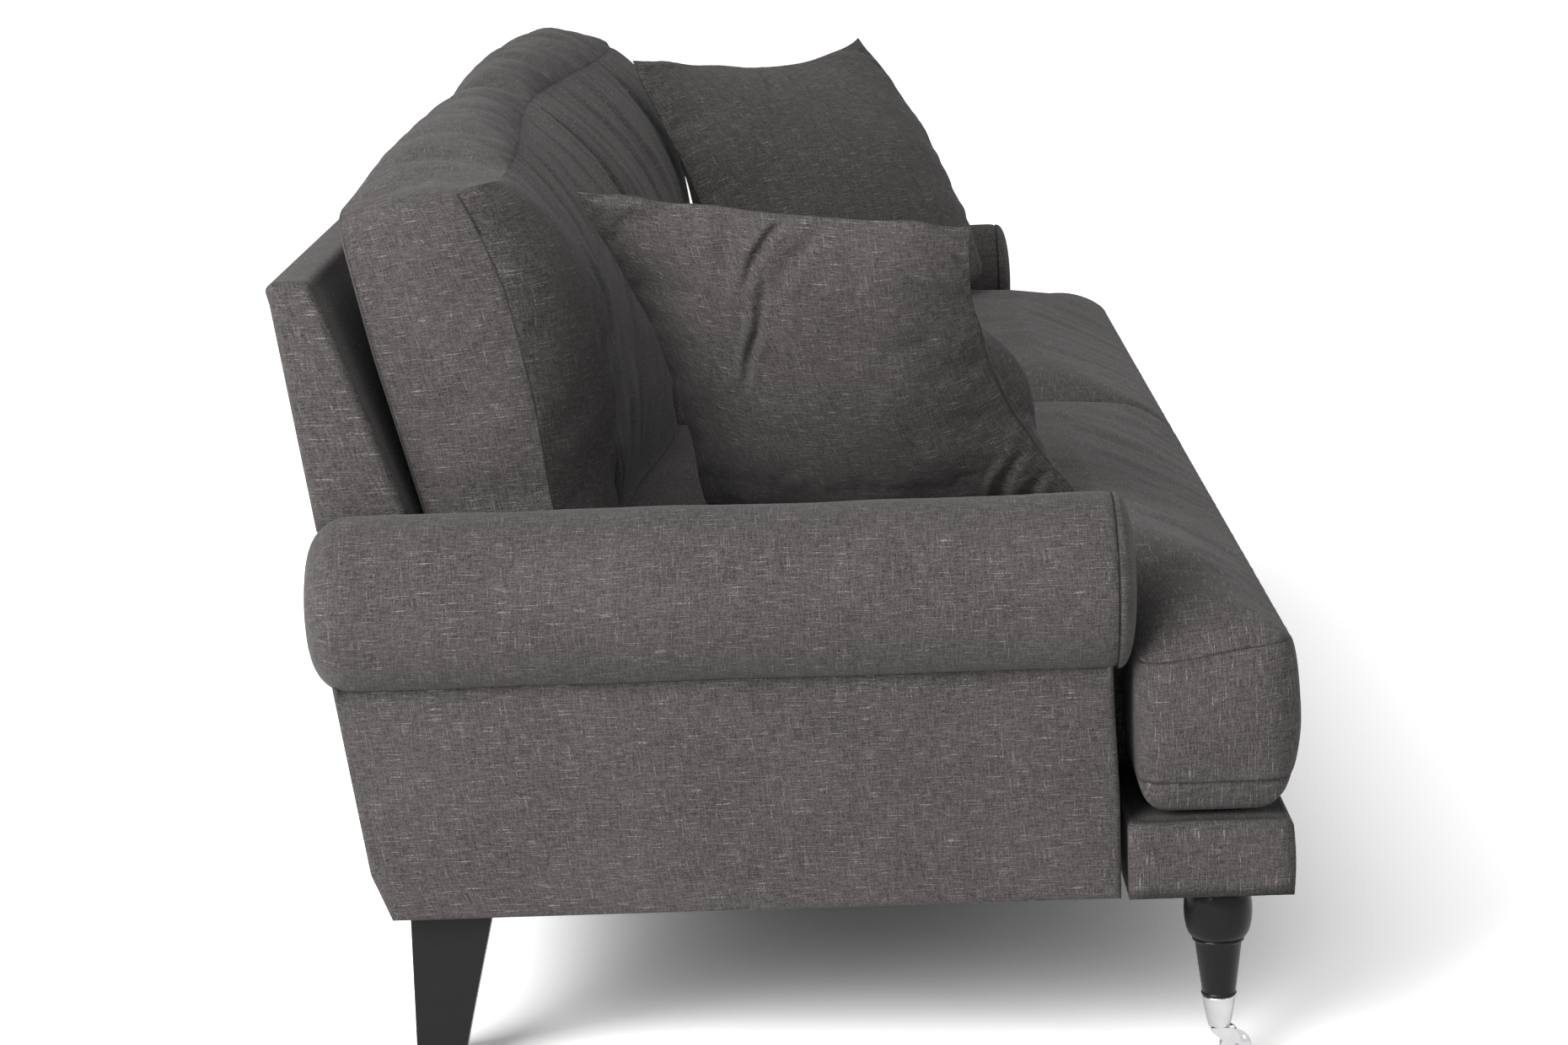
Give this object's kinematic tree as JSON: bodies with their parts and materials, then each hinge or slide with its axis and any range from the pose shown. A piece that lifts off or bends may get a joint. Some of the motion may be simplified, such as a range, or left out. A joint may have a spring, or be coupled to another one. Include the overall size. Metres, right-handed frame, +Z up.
{
  "type": "english roll arm sofa",
  "caption": "Roll arm sofa with boxed T-shaped seat cushions, boxed back cushions, scatter cushions, plain rear legs and turned front legs on cup castors.",
  "frame": {"origin": "on the floor under the middle of the sofa", "axes": "+X along the seat to the right as seen from the front, +Y from the front to the back, +Z up"},
  "size_m": [2.26, 0.9614, 0.8622],
  "materials": {
    "cloth": "woven charcoal cloth with lighter slubs",
    "lining": "thin black lining cloth",
    "timber": "planed, bare",
    "black_wood": "black stain under satin lacquer",
    "chrome": "polished",
    "steel": "plain"
  },
  "bodies": {
    "sofa_body": {"arm_body_left": "cloth", "arm_body_right": "cloth", "arm_bolt_front_left": "steel", "arm_bolt_front_right": "steel", "arm_bolt_rear_left": "steel", "arm_bolt_rear_right": "steel", "arm_facing_left": "cloth", "arm_facing_right": "cloth", "arm_roll_left": "cloth", "arm_roll_right": "cloth", "back_frame": "cloth", "castor_cup_left": "chrome", "castor_cup_right": "chrome", "centre_rail": "timber", "front_border": "cloth", "front_leg_block_left": "timber", "front_leg_block_right": "timber", "front_leg_bolt_left": "steel", "front_leg_bolt_right": "steel", "front_leg_left": "black_wood", "front_leg_right": "black_wood", "front_rail": "timber", "inner_rail": "timber", "rear_leg_block_left": "timber", "rear_leg_block_right": "timber", "rear_leg_bolt_left": "steel", "rear_leg_bolt_right": "steel", "rear_leg_left": "black_wood", "rear_leg_right": "black_wood", "rear_rail": "timber", "seat_deck": "cloth", "seat_spring_1_left": "steel", "seat_spring_1_right": "steel", "seat_spring_2_left": "steel", "seat_spring_2_right": "steel", "seat_spring_3_left": "steel", "seat_spring_3_right": "steel", "side_rail_left": "timber", "side_rail_right": "timber", "underside_lining": "lining"},
    "fork_left": {"castor_fork_left": "chrome", "castor_axle_left": "chrome"},
    "fork_right": {"castor_fork_right": "chrome", "castor_axle_right": "chrome"},
    "wheel_left": {"castor_wheel_left": "chrome"},
    "wheel_right": {"castor_wheel_right": "chrome"},
    "seat_left": {"seat_cushion_left": "cloth"},
    "seat_right": {"seat_cushion_right": "cloth"},
    "back_left": {"back_cushion_left": "cloth"},
    "back_right": {"back_cushion_right": "cloth"},
    "scatter_left": {"scatter_cushion_left": "cloth"},
    "scatter_right": {"scatter_cushion_right": "cloth"}
  },
  "joints": [
    {"name": "castor_swivel_right", "type": "hinge", "parent": "sofa_body", "child": "fork_right", "pos_m": [1.029, -0.41898, 0.03544], "axis": [0, 0.034, 0.9994], "continuous": true},
    {"name": "castor_roll_right", "type": "hinge", "parent": "fork_right", "child": "wheel_right", "pos_m": [1.029, -0.43467, 0.01537], "axis": [1, 0, 0], "continuous": true},
    {"name": "castor_swivel_left", "type": "hinge", "parent": "sofa_body", "child": "fork_left", "pos_m": [-1.029, -0.41898, 0.03544], "axis": [0, 0.034, 0.9994], "continuous": true},
    {"name": "castor_roll_left", "type": "hinge", "parent": "fork_left", "child": "wheel_left", "pos_m": [-1.029, -0.43467, 0.01537], "axis": [1, 0, 0], "continuous": true},
    {"name": "seat_cushion_pull_right", "type": "slide", "parent": "sofa_body", "child": "seat_right", "axis": [0, -0.9994, 0.034], "range_m": [0, 0.12]},
    {"name": "back_cushion_lift_right", "type": "slide", "parent": "sofa_body", "child": "back_right", "axis": [0, 0.3623, 0.9321], "range_m": [0, 0.1]},
    {"name": "scatter_cushion_lift_right", "type": "slide", "parent": "seat_right", "child": "scatter_right", "axis": [0, 0.034, 0.9994], "range_m": [0, 0.15]},
    {"name": "seat_cushion_pull_left", "type": "slide", "parent": "sofa_body", "child": "seat_left", "axis": [0, -0.9994, 0.034], "range_m": [0, 0.12]},
    {"name": "back_cushion_lift_left", "type": "slide", "parent": "sofa_body", "child": "back_left", "axis": [0, 0.3623, 0.9321], "range_m": [0, 0.1]},
    {"name": "scatter_cushion_lift_left", "type": "slide", "parent": "seat_left", "child": "scatter_left", "axis": [0, 0.034, 0.9994], "range_m": [0, 0.15]}
  ]
}
